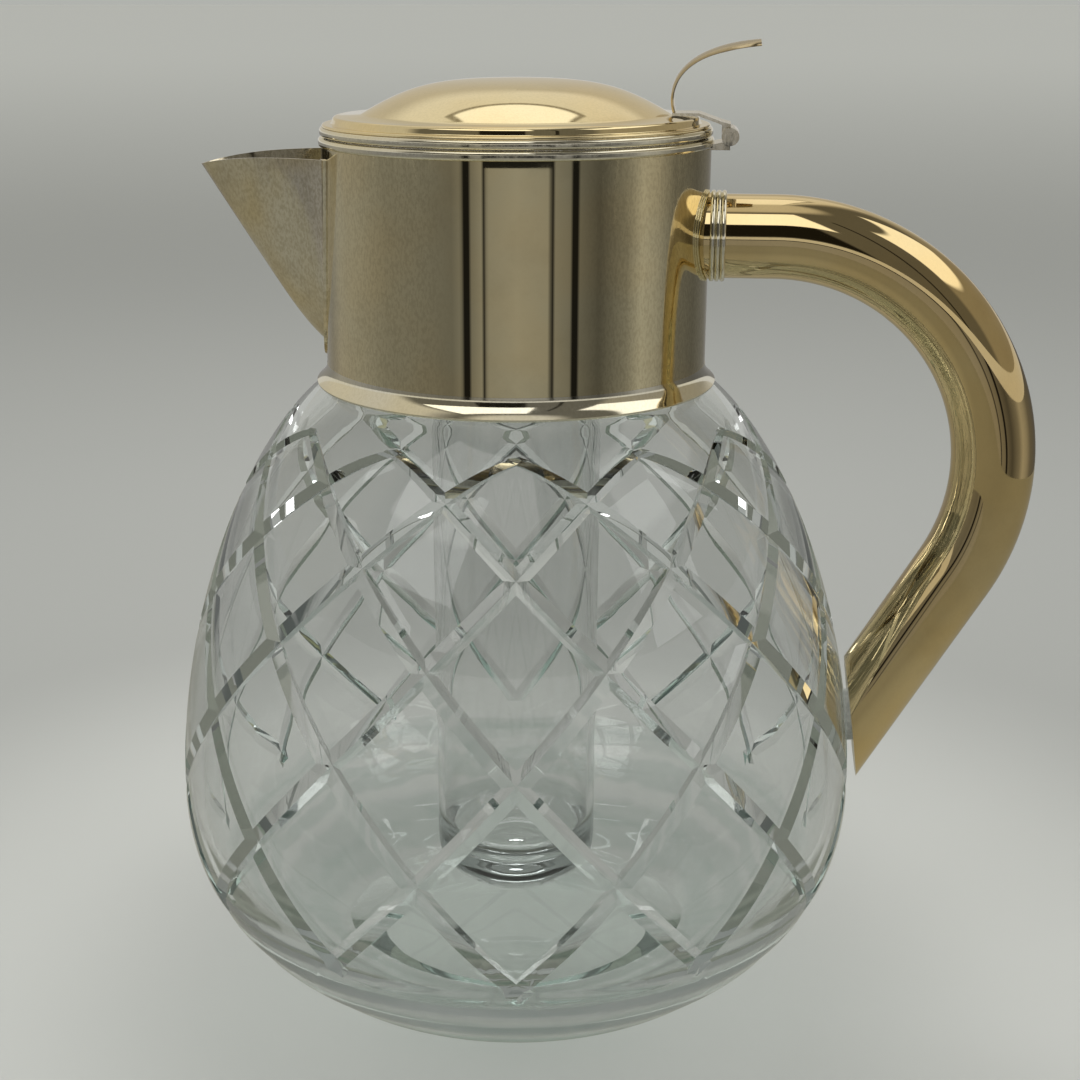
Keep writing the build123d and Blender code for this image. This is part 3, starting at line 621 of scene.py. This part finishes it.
# spout
spout = {"reach": 37.8, "halfWidth": 20.0, "sidePower": 0.35, "drop": 53.5, "keelBend": 3.6,
         "bendHeight": 4.8, "top": 254.2, "tipDip": 4.0, "rimLevel": 15.0, "tipCurve": 12.0,
         "sheet": 0.9, "start": 0.5, "innerStart": 1.2, "leastWidth": 0.3,
         "rootFlare": 2.4, "flareLength": 5.0, "flareRise": 3, "rows": 40, "columns": 61, "rowPower": 1.25}


def spoutSection(z, t, inset):
    # Plan section at height z: the parabola with ends (back, -w), (back, w) and nose at the keel, with
    # w = halfWidth * share^sidePower and keel = radius + bend (1 - e^(-h/bendHeight)) + reach * share.
    # Near its root the sheet flares out to the collar: width + flare * e^(-distance/length).
    d = spout
    height = z - (d["top"] - d["drop"])
    share = np.clip(height / d["drop"], 0, 2)
    width = np.maximum(d["halfWidth"] * share ** d["sidePower"] - inset, d["leastWidth"])
    keel = (collar["radius"] + d["keelBend"] * (1 - np.exp(-np.maximum(height, 0) / d["bendHeight"]))
            + (d["reach"] - d["keelBend"]) * share - inset)
    back = -np.sqrt(collar["radius"] ** 2 - width ** 2)
    x = (1 - t) ** 2 * back + 2 * t * (1 - t) * (-2 * keel - back) + t ** 2 * back
    y = width * (2 * t - 1)
    off = np.maximum(np.hypot(x, y) - collar["radius"], 0)
    flare = d["rootFlare"] * np.exp(-off / d["flareLength"]) * np.clip(share * d["flareRise"], 0, 1)
    y = y + np.sign(y) * flare * np.abs(2 * t - 1) ** 2
    grow = np.maximum(collar["radius"] / np.hypot(x, y), 1)
    return x * grow, y * grow


def spoutSkin(inset):
    # the sections stand between the keel and the upper edge, which dips towards the tip. The edge's
    # height is found by six rounds of reading it at the x of the section before.
    d = spout
    t = np.linspace(0, 1, d["columns"])[None, :]
    tip = -(collar["radius"] + d["reach"] + d["sheet"])
    rim = bezierCurve([(-collar["radius"], d["top"]), (-collar["radius"] - d["rimLevel"], d["top"]),
                       (tip + d["tipCurve"], d["top"]), (tip, d["top"] - d["tipDip"])], 80)
    top = np.full((1, d["columns"]), d["top"])
    for _ in range(6):
        top = np.interp(-spoutSection(top, t, inset)[0], -rim[:, 0], rim[:, 1])
    v = (np.linspace(0, 1, d["rows"]) ** d["rowPower"])[:, None]
    bottom = d["top"] - d["drop"] + (d["innerStart"] if inset else d["start"])
    z = bottom + v * (top - bottom)
    return np.stack([*spoutSection(z, t, inset), z], -1)


def makeSpout():
    shell = sheetShell(spoutSkin(0), spoutSkin(spout["sheet"]))
    addMesh("spoutSheet", *shell, "jug", "plated_band", "spoutPlate", ["spout"], sharp=50)


makeSpout()
print("spout made")


# lid
lid = {"rimLow": 259.9, "rimRadius": 54.3, "rimTop": 262.3, "rimFillet": 0.85, "skirtRadius": 52.7,
       "brimRadius": 53.6, "brimTop": 263.1, "brimFillet": 0.5, "stepRadius": 51.0, "stepTop": 265.0,
       "stepFillet": 0.9, "stepValley": 0.35, "innerFillet": 0.3, "corner": 0.1,
       "flangeEdge": 50.4, "flangeInner": 43.0, "flangeTop": 265.4, "sheet": 1.0,
       "domeTop": 275.0, "domeSlope": 30.0, "domeReach": 16.0, "domeFlat": 22.0, "domeRun": (3, 1.6)}


def makeLid():
    # spun cap: dome curve, soft valley, flat flange, rounded step and brim, with an even sheet inside
    d = lid

    def crown(drop, count):
        edge = (d["flangeInner"], d["flangeTop"] - drop)
        return bezierCurve([edge, polarOffset(edge, d["domeReach"], 180 - d["domeSlope"]),
                            (d["domeFlat"], d["domeTop"] - drop), (0, d["domeTop"] - drop)], count)
    outer, inner = crown(0, 60)[::-1], crown(d["sheet"], 40)
    rim = roundCorners([
        (d["flangeInner"] - d["domeRun"][0], d["flangeTop"] + d["domeRun"][1], 0),
        (d["flangeInner"], d["flangeTop"], 0), (d["flangeEdge"], d["stepTop"], d["stepFillet"]),
        (d["stepRadius"], d["brimTop"], d["stepValley"]),
        (d["brimRadius"], d["brimTop"], d["brimFillet"]),
        (d["brimRadius"], d["rimTop"], d["corner"]),
        (d["stepRadius"] - d["sheet"], d["rimTop"], d["corner"]),
        (d["flangeEdge"] - d["sheet"], d["stepTop"] - d["sheet"], d["innerFillet"]),
        (d["flangeInner"], d["flangeTop"] - d["sheet"], 0)], 6, False)[2:]
    cap = latheMesh(np.concatenate([outer, rim, inner[1:]]))
    addMesh("lidCap", *cap, "lid", "plated_bright", "lidPlate", ["lid_dome"])
    bead = roundCorners([(d["skirtRadius"], d["rimLow"], d["corner"]),
                         (d["rimRadius"], d["rimLow"], d["rimFillet"]),
                         (d["rimRadius"], d["rimTop"], d["rimFillet"]),
                         (d["skirtRadius"], d["rimTop"], d["corner"])], 7)
    addMesh("lidRimBead", *latheMesh(bead), "lid", "plated_bright", "brightPlate", ["lid_rim"])


makeLid()
print("lid made")


# thumb piece
thumb = {"rootX": 44.0, "rootZ": 266.22, "thickness": 0.9, "thinning": 0.25, "reach": 22.4, "rise": 18.6,
         "swell": 3.1, "swellRise": 9.3, "curl": 4.5, "curlDrop": 1.4, "crown": 1.3, "crownRise": 1.4,
         "rootHalfWidth": 4.6, "tipHalfWidth": 7.0, "endHalfWidth": 3.9, "widest": 0.8,
         "growPower": 1.5, "endFullness": 0.98, "edgePower": 8, "rows": 48, "columns": 17}


def makeThumbPiece():
    # strip along a Bezier curve; across it, z falls by crown * (y / half width)^2 * share of the length,
    # and the half width grows from root to tip and is then drawn in along a quarter ellipse
    d = thumb
    root = np.array([d["rootX"], d["rootZ"]])
    tip = root + [d["reach"], d["rise"]]
    line = bezierCurve([root, root + [-d["swell"], d["swellRise"]],
                        (root[0] + d["curl"], tip[1] - d["curlDrop"]), tip], d["rows"])
    slope = np.gradient(line, axis=0)
    slope /= np.linalg.norm(slope, axis=1, keepdims=True)
    normal = np.stack([-slope[:, 1], slope[:, 0]], -1)
    run = np.concatenate([[0], np.cumsum(np.linalg.norm(np.diff(line, axis=0), axis=1))])
    share = (run / run[-1])[:, None]
    grow = np.clip(share / d["widest"], 0, 1) ** d["growPower"]
    last = np.clip((share - d["widest"]) / (1 - d["widest"]), 0, 1)
    drawn = (1 - d["endHalfWidth"] / d["tipHalfWidth"]) * (1 - np.sqrt(1 - last ** 2 * d["endFullness"]))
    width = (d["rootHalfWidth"] + (d["tipHalfWidth"] - d["rootHalfWidth"]) * grow) * (1 - drawn)
    v = np.linspace(-1, 1, d["columns"])
    sag = d["crown"] * np.clip(share * d["crownRise"], 0, 1) * v ** 2
    edge = 0.5 * d["thickness"] * (1 - np.sqrt(np.maximum(1 - np.abs(v) ** d["edgePower"], 0)))
    thick = d["thickness"] * (1 - d["thinning"] * share)

    def skin(side):
        lift = side - sag
        z = np.maximum(line[:, 1:] + normal[:, 1:] * lift, d["rootZ"])
        return np.stack([line[:, :1] + normal[:, :1] * lift, width * v, z], -1)
    strip = sheetShell(skin(thick - edge), skin(edge))
    addMesh("thumbStrip", *strip, "lid", "plated_bright", "thumbPlate", ["thumb_piece"])


makeThumbPiece()
print("thumb piece made")


# handle
handle = {"radius": 11.6, "wall": 1.0, "axisZ": 232.7, "start": 54.3, "bendX": 72.4, "bendZ": 168.9,
          "bendRadius": 63.8, "sweep": 120.0, "cutTilt": 8.0}


def makeHandle():
    # circle carried along a level run, an arc and a straight tail. The tail's lines run on to the cut,
    # the plane of all p with n . p = the greatest n . p of the frame's end plate.
    d = handle
    tilt = math.radians(d["cutTilt"])
    normal = np.array([-math.cos(tilt), 0, -math.sin(tilt)])
    cad = nodes["handle_end"].data
    co = np.zeros(len(cad.vertices) * 3)
    cad.vertices.foreach_get("co", co)
    plane = (co.reshape(-1, 3) / mm @ normal).max()
    turn = np.radians(90 - np.linspace(0, d["sweep"], 73))
    bend = np.stack([d["bendX"] + d["bendRadius"] * np.cos(turn),
                     d["bendZ"] + d["bendRadius"] * np.sin(turn)], -1)
    runX = np.linspace(d["start"], d["bendX"], 8)[:-1]
    run = np.stack([runX, np.full(len(runX), d["axisZ"])], -1)
    axis = np.concatenate([run, bend])
    angle = np.concatenate([np.full(len(run), math.pi / 2), turn])
    out = np.stack([np.cos(angle), np.sin(angle)], -1)          # away from the bend's centre
    along = np.array([math.sin(turn[-1]), 0, -math.cos(turn[-1])])
    around = np.linspace(0, 2 * math.pi, 72, endpoint=False)

    def skin(radius):
        side = radius * np.cos(around)
        ring = np.stack([axis[:, :1] + out[:, :1] * side, radius * np.sin(around) + 0 * axis[:, :1],
                         axis[:, 1:] + out[:, 1:] * side], -1)
        last = ring[-1]
        gap = ((plane - last @ normal) / (along @ normal))[:, None] * along
        tail = last + np.linspace(0, 1, 14)[1:, None, None] * gap
        return np.concatenate([ring, tail])
    outer, inner = skin(d["radius"]), skin(d["radius"] - d["wall"])
    loop = np.concatenate([outer, inner[::-1]])
    points, faces = loop.reshape(-1, 3), gridFaces(len(loop), len(around), True, True)
    addMesh("handleTube", points, faces, "jug", "plated_handle", "shadedHandlePlate", ["handle_tube"], sharp=50)


ferrule = {"length": 4.4, "radius": 12.6, "bore": 11.62, "beads": 3}


def makeFerrule():
    # three half-round beads side by side, turned about the handle's axis
    d = ferrule
    bead = d["length"] / (2 * d["beads"])
    foot = d["radius"] - bead
    turn = np.linspace(math.pi, 0, 9)
    beads = np.concatenate([np.stack([bead * np.cos(turn) + (2 * i + 1) * bead,
                                      foot + bead * np.sin(turn)], -1)[:-1] for i in range(d["beads"])])
    profile = np.concatenate([beads, [(d["length"], foot), (d["length"], d["bore"]), (0, d["bore"])]])
    around = np.linspace(0, 2 * math.pi, 96, endpoint=False)
    x, r = profile[:, :1], profile[:, 1:]
    points = np.stack([handle["start"] + x + 0 * around, r * np.cos(around),
                       handle["axisZ"] + r * np.sin(around)], -1)
    faces = gridFaces(len(profile), len(around), True, True)
    addMesh("handleFerrule", points.reshape(-1, 3), faces, "jug", "plated_bright", "brightPlate",
            ["handle_ferrule"], sharp=30)


makeHandle()
makeFerrule()
print("handle made")


# finishes of the pieces kept as they are
keptFinishes = {
    "bandPlate": ["collar_band"], "spoutPlate": ["spout_flange"], "shadedHandlePlate": ["handle_socket"],
    "innerPlate": ["insert_seat", "lid_skirt", "handle_end"],
    "hingeNickel": ["lid_leaf", "lid_knuckle", "collar_knuckle_front", "collar_knuckle_back",
                    "hinge_bracket", "hinge_pin"],
    "padRubber": ["handle_bumper"], "cementPaste": ["neck_cement"],
}
for finish, names in keptFinishes.items():
    for name in names:
        slots = nodes[name].data.materials
        if len(slots):
            slots[0] = finishes[finish]
        else:
            slots.append(finishes[finish])
print("kept pieces finished")


# floor, walls, lamps and camera, in metres and degrees
stage = {
    "frontTurn": 6.5,                  # how far the camera stands round to the handle's side
    "floorRings": (0.2, 0.6, 2.0, 8.0, 60.0), "floorDrop": 0.0003, "floorTint": (1, 1.015, 0.965),
    # the floor is painted lighter right under the glass, as a pool of light, and darker in a ring round the
    # foot, as a contact shadow
    "floorPaintedLight": 0.47, "floorPaintedShadow": 0.42, "floorNear": 0.49, "floorMiddle": 0.35, "floorFar": 0.68,
    "paintedLightRadius": 0.034, "footRadius": 0.050, "paintedShadowFade": 0.09, "nearRadius": 0.17,
    "middleRadius": 0.34,
    # painted shade: the floor as metal mirrors it and as glass shows it is painted darker
    "mirroredShade": (0.66, 0.64, 0.58), "through": (0.82, 0.82, 0.82),     # the floor in metal and in glass
    "wallRadius": 0.75, "wallHeight": 0.30, "wallTint": (1, 0.985, 0.95), "upperWall": (0.60, 0.59, 0.56),
    "beamTurn": 0.521, "beamHalf": 0.053, "beamHeight": 0.1908, "beamTop": 0.212,
    "beamTone": (0.012, 0.012, 0.012),
    "worldTone": (0.66, 0.66, 0.6402), "roomTone": (0.13, 0.125, 0.11),
    "grey": (0.44, 0.45, 0.425),       # what the camera and the glass see behind the floor
    "darkSides": (35, 138, 24),        # azimuth from and to, and softness, where glass sees less light
    "darkTone": (0.08, 0.09, 0.085),
    "segments": 96,
}

# level of the ring wall at each share of the way round from the back, by the left, the front and the right;
# the steep steps are dark uprights
wallLevels = [
    (0.00, 0.30), (0.13, 0.22), (0.17, 0.30), (0.235, 0.275), (0.30, 0.20), (0.36, 0.178),
    (0.418, 0.142), (0.433, 0.19), (0.4350, 0.010), (0.4460, 0.010), (0.448, 0.165),
    (0.4655, 0.24), (0.4665, 0.012), (0.4715, 0.012), (0.473, 0.25), (0.52, 0.295), (0.5695, 0.26),
    (0.5708, 0.012), (0.5758, 0.012), (0.577, 0.205), (0.6015, 0.17), (0.6030, 0.010),
    (0.6140, 0.010), (0.616, 0.135), (0.65, 0.078), (0.70, 0.20), (0.7285, 0.37), (0.757, 0.31),
    (0.80, 0.14), (0.87, 0.10), (0.94, 0.16), (1.00, 0.30),
]

# what mirrors see of the room, later ones in front: azimuth from and to and elevation from and to, in
# degrees from the front, then the softness of the edges and the level
roomPanels = {
    "leftRoom": (-220, -70, -20, 66, 14, 0.56), "rightRoom": (54, 220, -20, 36, 10, 0.29),
    "backLeft": (-220, -146, -20, 72, 16, 0.52), "backRight": (150, 220, -20, 72, 16, 0.52),
    "backHighLeft": (-220, -146, 32, 76, 14, 0.76), "backHighRight": (153, 220, 32, 76, 8, 0.76),
    "rightBox": (54, 128, 34, 58, 3, 1.3), "frontBox": (-64, 12, 38, 70, 2, 1.45),
    "frontGap": (-24, 6, 7, 38, 2, 0.012), "doorEdge": (25.5, 28, -20, 60, 0.8, 0.02),
    "backRimLeft": (-220, -157, 50.3, 80, 1, 0.30), "backRimRight": (157.5, 220, 50.3, 80, 1, 0.30),
    "backLampLeft": (-220, -159, 52, 80, 1.2, 1.15), "backLampRight": (159, 220, 52, 80, 1.2, 1.15),
    "ceiling": (-400, 400, 76, 100, 8, 0.62),
}

# place, size and power of each lamp
lamps = {"keyLamp": ((-0.55, -0.75, 0.95), (0.7, 0.7), 3.0),
         "fillLamp": ((0.95, -0.35, 0.70), (0.5, 0.7), 2.0),
         "topLamp": ((-0.1, 0.65, 1.05), (0.9, 0.6), 6.5)}
lampAim = (0, 0, 0.13)

camera = {"distance": 0.49634, "height": 0.29677, "tilt": 17.316, "lens": 58.3, "sensor": 36.0,
          "shift": 0.0221}


def stageMesh(name, points, faces):
    mesh = bpy.data.meshes.new(name)
    mesh.from_pydata(points.tolist(), [], faces)
    thing = bpy.data.objects.new(name, mesh)
    bpy.context.scene.collection.objects.link(thing)
    material, t, shader = newMaterial(name + "Paint")
    mesh.materials.append(material)
    return thing, t, shader


def makeFloor():
    # rings of a disc: a painted pool of light right under the glass, a painted contact shadow round the
    # foot, pale round the jug, greyer behind it and pale again far away
    a = np.linspace(0, 2 * math.pi, stage["segments"], endpoint=False)
    drop = -stage["floorDrop"]
    rings = np.array([(radius, drop) for radius in stage["floorRings"]])
    points = np.concatenate([ringPoints(rings, a).reshape(-1, 3), [[0, 0, drop]]])
    faces = gridFaces(len(rings), len(a), False, True) + fanFaces(len(points) - 1, np.arange(len(a)))
    _, t, shader = stageMesh("floor", points, faces)
    reach = t.add("ShaderNodeVectorMath", operation="LENGTH")
    t.link(t.place(), reach.inputs[0])
    away = reach.outputs["Value"]
    under, paintedShadow, near, middle, far = [
        tuple(stage[zone] * share for share in stage["floorTint"])
        for zone in ("floorPaintedLight", "floorPaintedShadow", "floorNear", "floorMiddle", "floorFar")]
    # painted pool of light: the floor under the glass is lighter, standing in for light that the glass lets
    # through
    glow = t.spread(away, stage["paintedLightRadius"], stage["footRadius"])
    # painted contact shadow: a darker ring round the foot that fades out further away
    beside = t.spread(away, stage["paintedShadowFade"], stage["nearRadius"])
    fall = t.spread(away, stage["nearRadius"], stage["middleRadius"])
    lift = t.spread(t.math("LOGARITHM", away, 10.0), -0.1, 1.0)      # from 0.8 m to 10 m
    close = t.mix(beside, t.mix(glow, under, paintedShadow), near)
    # painted shade: mirrors see the floor darker, standing in for the shadow of jug and handle on it, and
    # glass shows it darker, standing in for light lost in the glass
    light = t.add("ShaderNodeLightPath")
    dim = t.add("ShaderNodeMix", data_type="RGBA", blend_type="MULTIPLY")
    t.link(light.outputs["Is Glossy Ray"], dim.inputs[0])
    t.link(t.mix(lift, t.mix(fall, close, middle), far), dim.inputs[6])
    t.link(t.mix(light.outputs["Is Transmission Ray"], stage["mirroredShade"], stage["through"]), dim.inputs[7])
    t.link(dim.outputs[2], shader.inputs["Base Color"])
    shader.inputs["Roughness"].default_value = 0.9
    shader.inputs["Specular IOR Level"].default_value = 0.1


def makeWall():
    # soft box around the jug that only mirrors see: a ring wall with thin dark uprights in front
    a = np.linspace(0, 2 * math.pi, stage["segments"], endpoint=False)
    profile = np.array([(stage["wallRadius"], 0), (stage["wallRadius"], stage["wallHeight"])])
    wall, t, shader = stageMesh("softBoxWall", ringPoints(profile, a).reshape(-1, 3),
                                gridFaces(2, len(a), False, True))
    for ray in ("camera", "diffuse", "transmission", "shadow", "volume_scatter"):
        setattr(wall, "visible_" + ray, False)
    t.tree.nodes.remove(shader)
    x, y, z = t.split(t.place())
    azimuth = t.math("ARCTAN2", x, t.math("MULTIPLY", y, -1.0))
    turn = t.math("ADD", t.math("DIVIDE", azimuth, 2 * math.pi), 0.5)
    ramp = t.add("ShaderNodeValToRGB")
    elements = ramp.color_ramp.elements
    while len(elements) < len(wallLevels):
        elements.new(0.5)
    for element, (position, level) in zip(elements, wallLevels):
        element.position = position
        element.color = (*[level * share for share in stage["wallTint"]], 1)
    t.link(turn, ramp.inputs[0])
    # a beam joins the inner pair of uprights, and the wall above it is pale
    beside = t.math("ABSOLUTE", t.math("SUBTRACT", turn, stage["beamTurn"]))
    beam = t.math("MULTIPLY", t.math("LESS_THAN", beside, stage["beamHalf"]),
                  t.math("GREATER_THAN", z, stage["beamHeight"]))
    paint = t.mix(beam, ramp.outputs["Color"], stage["beamTone"])
    glow = t.add("ShaderNodeEmission")
    t.link(t.mix(t.math("GREATER_THAN", z, stage["beamTop"]), paint, stage["upperWall"]),
           glow.inputs["Color"])
    t.link(glow.outputs[0], t.tree.nodes["Material Output"].inputs["Surface"])


def panelTone(level):
    # level * (1, 0.90 + 0.08 b, 0.68 + 0.25 b), with b the level up to 1, so that dim panels are warmer
    bright = min(level, 1)
    return (level, level * (0.90 + 0.08 * bright), level * (0.68 + 0.25 * bright))


def makeWorld():
    # even light from all round; mirrors see the room panels, and the camera and glass a pale grey
    world = bpy.data.worlds.new("studio")
    bpy.context.scene.world = world
    world.use_nodes = True
    t = NodeTree(world.node_tree)
    turned = t.add("ShaderNodeMapping")
    turned.inputs["Rotation"].default_value = (0, 0, -math.radians(stage["frontTurn"]))
    t.link(t.place("Generated"), turned.inputs["Vector"])
    x, y, z = t.split(turned.outputs["Vector"])
    azimuth = t.math("DEGREES", t.math("ARCTAN2", x, t.math("MULTIPLY", y, -1.0)))
    elevation = t.math("DEGREES", t.math("ARCSINE", z))

    def window(value, low, high, soft):
        half = soft / 2
        return t.math("MULTIPLY", t.spread(value, low - half, low + half),
                      t.spread(value, high + half, high - half))

    room = stage["roomTone"]
    for left, right, low, high, soft, level in roomPanels.values():
        panel = t.math("MULTIPLY", window(azimuth, left, right, soft), window(elevation, low, high, soft))
        room = t.mix(panel, room, panelTone(level))
    light = t.add("ShaderNodeLightPath")
    colour = t.mix(light.outputs["Is Camera Ray"], stage["worldTone"], stage["grey"])
    colour = t.mix(light.outputs["Is Glossy Ray"], colour, room)
    aside = t.math("ABSOLUTE", azimuth)
    seen = t.mix(window(aside, *stage["darkSides"]), stage["grey"], stage["darkTone"])
    trapped = t.math("GREATER_THAN", light.outputs["Glossy Depth"], glass["trapped"])
    inGlass = t.math("MAXIMUM", light.outputs["Is Transmission Ray"], trapped)
    t.link(t.mix(inGlass, colour, seen), t.tree.nodes["Background"].inputs["Color"])


def addLamp(name, place, size, power):
    data = bpy.data.lights.new(name, "AREA")
    data.shape = "RECTANGLE"
    data.size, data.size_y = size
    data.energy = power
    lamp = bpy.data.objects.new(name, data)
    bpy.context.scene.collection.objects.link(lamp)
    lamp.location = place
    lamp.visible_glossy = False          # mirrors see the room panels instead
    x, y, z = np.array(lampAim, float) - place
    lamp.rotation_euler = (math.atan2(math.hypot(x, y), -z), 0, math.atan2(-x, y))


def makeCamera():
    # level turn about the jug, tilt down, and a small shift for the framing
    data = bpy.data.cameras.new("camera")
    data.lens, data.sensor_width, data.shift_x = camera["lens"], camera["sensor"], camera["shift"]
    viewer = bpy.data.objects.new("camera", data)
    bpy.context.scene.collection.objects.link(viewer)
    side = math.radians(stage["frontTurn"])
    viewer.location = (camera["distance"] * math.sin(side), -camera["distance"] * math.cos(side),
                       camera["height"])
    viewer.rotation_euler = (math.radians(90 - camera["tilt"]), 0, side)
    bpy.context.scene.camera = viewer


makeFloor()
makeWall()
makeWorld()
for name, (place, size, power) in lamps.items():
    addLamp(name, place, size, power)
makeCamera()
bpy.context.scene.view_settings.view_transform = "Standard"
print("stage and camera made")
